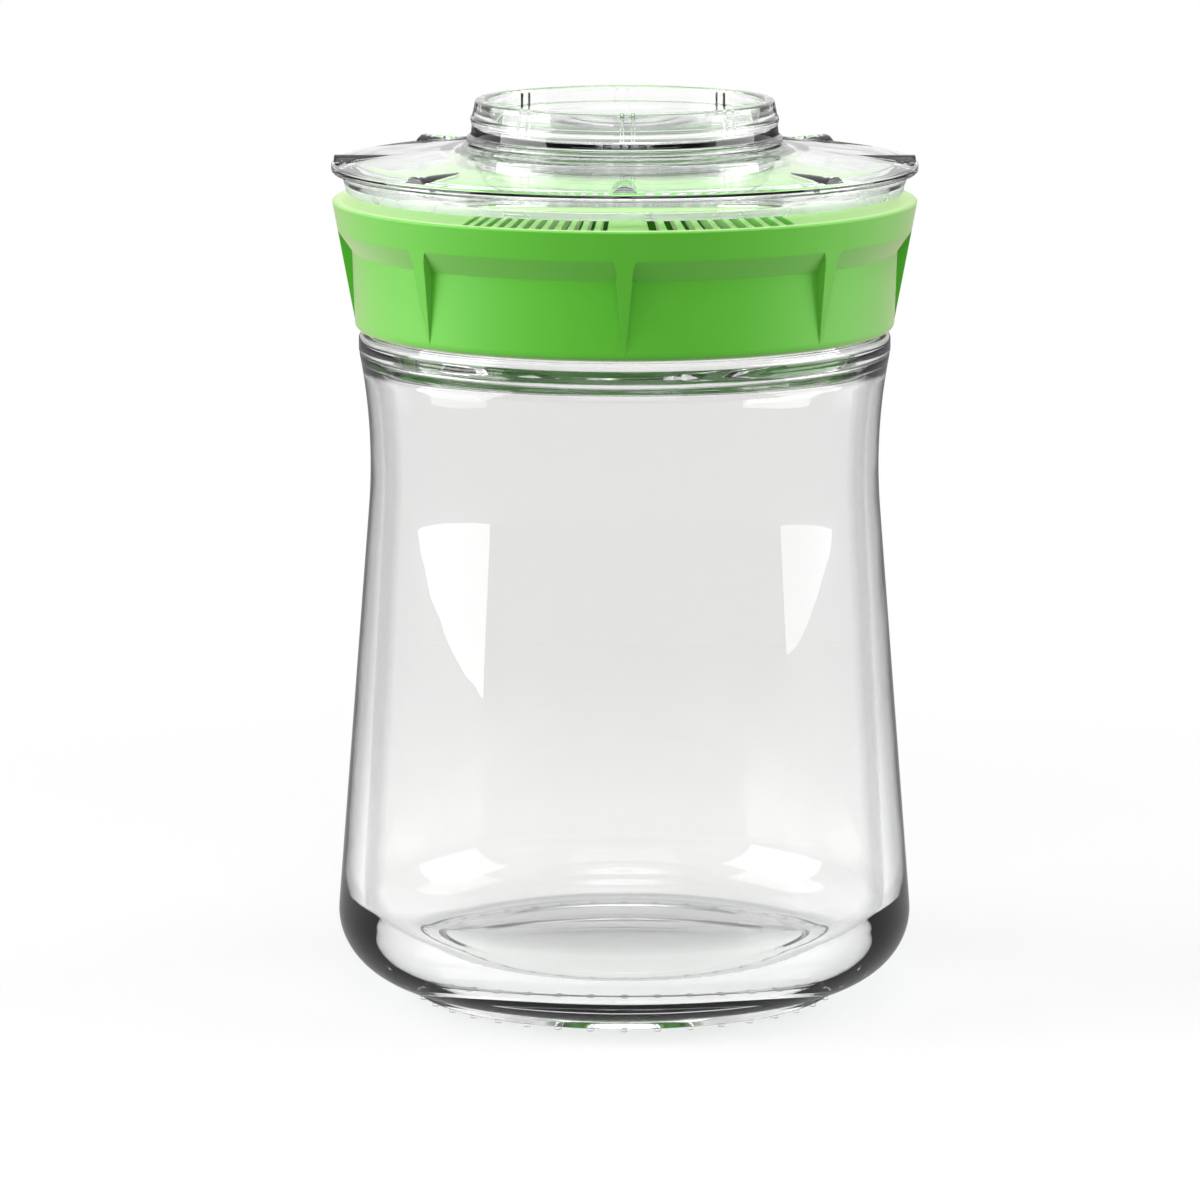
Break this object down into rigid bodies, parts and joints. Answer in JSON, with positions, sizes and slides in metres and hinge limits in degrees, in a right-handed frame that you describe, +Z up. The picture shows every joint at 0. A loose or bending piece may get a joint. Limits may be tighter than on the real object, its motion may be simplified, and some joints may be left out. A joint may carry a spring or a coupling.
{
  "type": "fermentation jar",
  "caption": "Flared glass jar with a green screw collar that has a slotted strainer deck, a clear screw cover and a clear push-in cap with a one-way gas valve.",
  "frame": {"origin": "centre of the plane that the foot stands on", "axes": "+Z up along the jar's axis; the front, with the fine and coarse slots, faces -Y"},
  "size_m": [0.1102, 0.1102, 0.17],
  "materials": {
    "jar_glass": "clear, fire-polished",
    "green_plastic": "fine satin grain",
    "clear_plastic": "clear, polished mould",
    "clear_silicone": "translucent, smooth"
  },
  "bodies": {
    "jar": {"glass_jar": "jar_glass"},
    "gasket": {"jar_gasket": "clear_silicone"},
    "collar": {"collar_ring": "green_plastic"},
    "seal": {"cover_seal": "clear_silicone"},
    "cover": {"cover": "clear_plastic"},
    "cap": {"cap": "clear_plastic", "cap_seal": "clear_silicone"},
    "valve": {"airlock_valve": "clear_silicone"}
  },
  "joints": [
    {"name": "collar_lift", "type": "slide", "parent": "jar", "child": "gasket", "axis": [0, 0, 1], "range_m": [0, 0.0031]},
    {"name": "collar_turn", "type": "hinge", "parent": "gasket", "child": "collar", "pos_m": [0, 0, 0.137], "axis": [0, 0, 1], "range_deg": [0, 270]},
    {"name": "cover_lift", "type": "slide", "parent": "collar", "child": "seal", "axis": [0, 0, 1], "range_m": [-0.0013, 0.0021]},
    {"name": "cover_turn", "type": "hinge", "parent": "seal", "child": "cover", "pos_m": [0, 0, 0.155], "axis": [0, 0, 1], "range_deg": [-150, 240]},
    {"name": "cap_lift", "type": "slide", "parent": "cover", "child": "cap", "axis": [0, 0, 1], "range_m": [0, 0.012]},
    {"name": "valve_lift", "type": "slide", "parent": "cap", "child": "valve", "axis": [0, 0, 1], "range_m": [0, 0.0008], "stiffness_N_per_m": 5}
  ],
  "couplings": [
    {"joint": "collar_lift", "follows": "collar_turn", "m_per_rad": 0.00063662},
    {"joint": "cover_lift", "follows": "cover_turn", "m_per_rad": 0.00047746}
  ]
}
